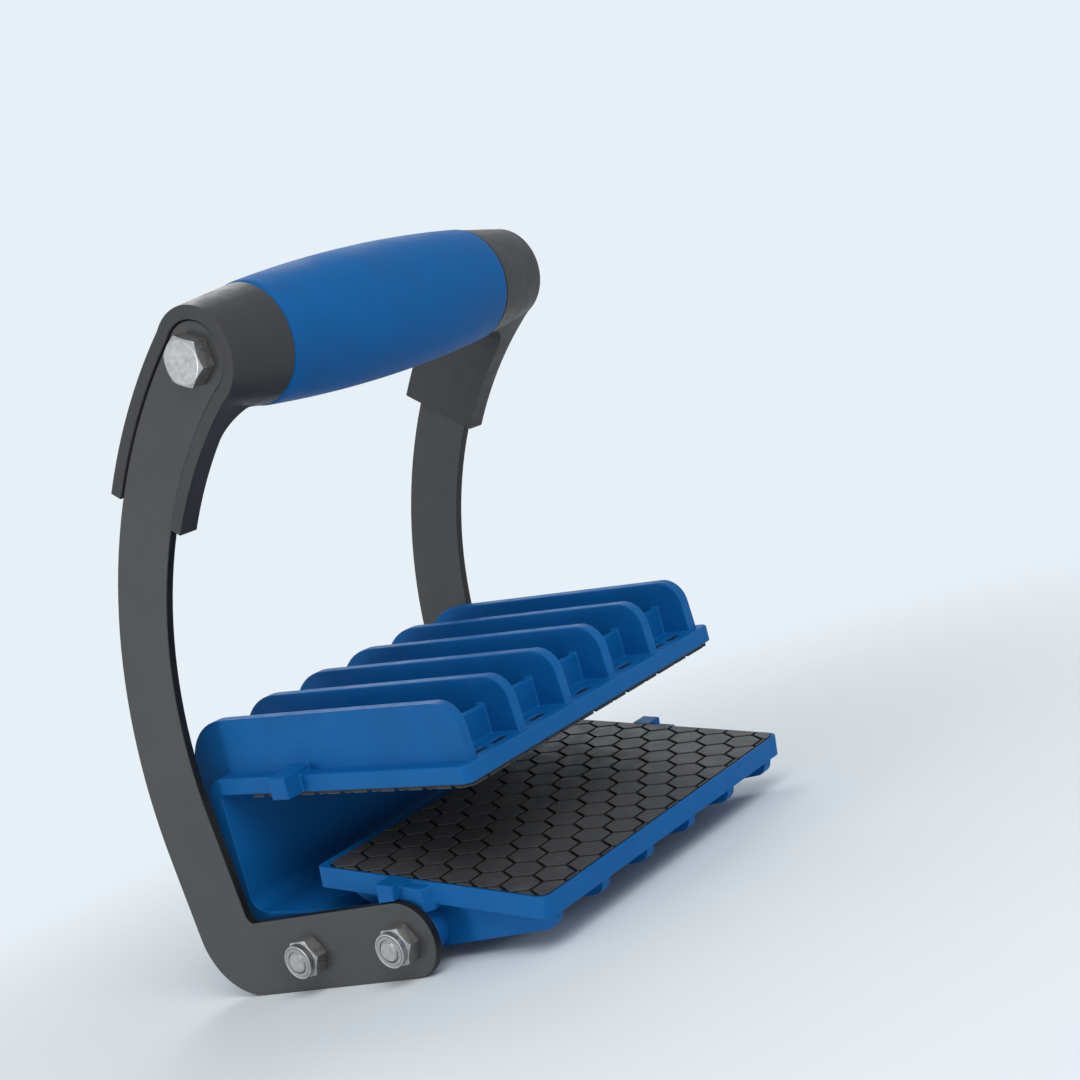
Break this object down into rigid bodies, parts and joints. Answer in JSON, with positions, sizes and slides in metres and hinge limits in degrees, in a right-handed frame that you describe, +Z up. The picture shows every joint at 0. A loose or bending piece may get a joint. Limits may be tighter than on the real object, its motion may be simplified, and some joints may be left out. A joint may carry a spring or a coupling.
{
  "type": "panel carrier",
  "caption": "One-handed panel carrier: a handle on bent flat arms over two ribbed, rubber-faced pivoting jaws that grip the edge of a sheet.",
  "frame": {"origin": "under the middle of the carrier's box, on the plane of the two feet", "axes": "+X along the handle toward the pivot bolts' heads, +Y toward the closed back of the mouth, +Z up toward the handle"},
  "size_m": [0.185, 0.164, 0.2458],
  "materials": {
    "arm_paint": "satin powder coat",
    "socket_plastic": "satin moulded",
    "grip_rubber": "soft matte",
    "jaw_plastic": "satin moulded",
    "pad_rubber": "matte",
    "zinc_steel": "zinc plated",
    "nylon": "matte"
  },
  "bodies": {
    "frame": {"left_arm": "arm_paint", "right_arm": "arm_paint", "left_handle_socket": "socket_plastic", "right_handle_socket": "socket_plastic", "handle_grip": "grip_rubber", "handle_core_tube": "zinc_steel", "left_core_plug": "zinc_steel", "right_core_plug": "zinc_steel", "left_handle_bolt": "zinc_steel", "right_handle_bolt": "zinc_steel", "rear_pivot_bolt": "zinc_steel", "front_pivot_bolt": "zinc_steel", "rear_lock_nut": "zinc_steel", "front_lock_nut": "zinc_steel", "rear_nut_ring": "nylon", "front_nut_ring": "nylon", "rear_left_spacer": "zinc_steel", "rear_right_spacer": "zinc_steel", "front_left_spacer": "zinc_steel", "front_right_spacer": "zinc_steel"},
    "upper_jaw": {"upper_jaw": "jaw_plastic", "upper_pad": "pad_rubber"},
    "lower_jaw": {"lower_jaw": "jaw_plastic", "lower_pad": "pad_rubber"}
  },
  "joints": [
    {"name": "upper_jaw_pivot", "type": "hinge", "parent": "frame", "child": "upper_jaw", "pos_m": [0.00105, 0.02513, 0.0138], "axis": [1, 0, 0], "range_deg": [-33, 20]},
    {"name": "lower_jaw_pivot", "type": "hinge", "parent": "frame", "child": "lower_jaw", "pos_m": [0.00105, -0.02137, 0.0138], "axis": [1, 0, 0], "range_deg": [0, 30]}
  ]
}
